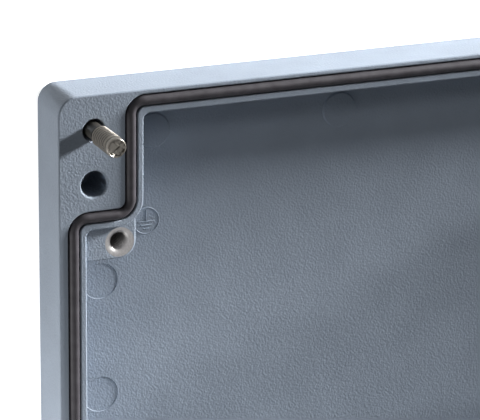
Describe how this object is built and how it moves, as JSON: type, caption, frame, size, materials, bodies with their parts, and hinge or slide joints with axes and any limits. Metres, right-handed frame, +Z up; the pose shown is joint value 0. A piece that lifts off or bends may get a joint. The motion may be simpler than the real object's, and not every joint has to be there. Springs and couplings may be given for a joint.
{
  "type": "die cast aluminium box",
  "caption": "Die cast aluminium enclosure, lid taken off and laid inside up: grey powder coat, stepped seal groove with rubber cord, captive corner screws, earth points.",
  "frame": {"origin": "centre of the base's back face", "axes": "+X along the box, +Y across it with the lid lying towards -Y, +Z up out of the open side"},
  "size_m": [0.26, 0.34, 0.072],
  "materials": {
    "casting_paint": "fine textured grey powder coat",
    "bare_aluminium": "machined",
    "gasket_rubber": "satin black",
    "stainless_steel": "turned",
    "ring_nylon": "black nylon"
  },
  "bodies": {
    "box": {"base_casting": "casting_paint", "lid_casting": "casting_paint", "lid_gasket": "gasket_rubber"},
    "screw_slide_1": {"screw_ring_1": "ring_nylon"},
    "screw_1": {"lid_screw_1": "stainless_steel"},
    "screw_slide_2": {"screw_ring_2": "ring_nylon"},
    "screw_2": {"lid_screw_2": "stainless_steel"},
    "screw_slide_3": {"screw_ring_3": "ring_nylon"},
    "screw_3": {"lid_screw_3": "stainless_steel"},
    "screw_slide_4": {"screw_ring_4": "ring_nylon"},
    "screw_4": {"lid_screw_4": "stainless_steel"}
  },
  "joints": [
    {"name": "screw_travel_1", "type": "slide", "parent": "box", "child": "screw_slide_1", "axis": [0, 0, 1], "range_m": [0, 0.0031]},
    {"name": "screw_turn_1", "type": "hinge", "parent": "screw_slide_1", "child": "screw_1", "pos_m": [0.11925, -0.1105, 0.02], "axis": [0, 0, 1], "continuous": true},
    {"name": "screw_travel_2", "type": "slide", "parent": "box", "child": "screw_slide_2", "axis": [0, 0, 1], "range_m": [0, 0.0031]},
    {"name": "screw_turn_2", "type": "hinge", "parent": "screw_slide_2", "child": "screw_2", "pos_m": [-0.11925, -0.1105, 0.02], "axis": [0, 0, 1], "continuous": true},
    {"name": "screw_travel_3", "type": "slide", "parent": "box", "child": "screw_slide_3", "axis": [0, 0, 1], "range_m": [0, 0.0031]},
    {"name": "screw_turn_3", "type": "hinge", "parent": "screw_slide_3", "child": "screw_3", "pos_m": [-0.11925, -0.2495, 0.02], "axis": [0, 0, 1], "continuous": true},
    {"name": "screw_travel_4", "type": "slide", "parent": "box", "child": "screw_slide_4", "axis": [0, 0, 1], "range_m": [0, 0.0031]},
    {"name": "screw_turn_4", "type": "hinge", "parent": "screw_slide_4", "child": "screw_4", "pos_m": [0.11925, -0.2495, 0.02], "axis": [0, 0, 1], "continuous": true}
  ]
}
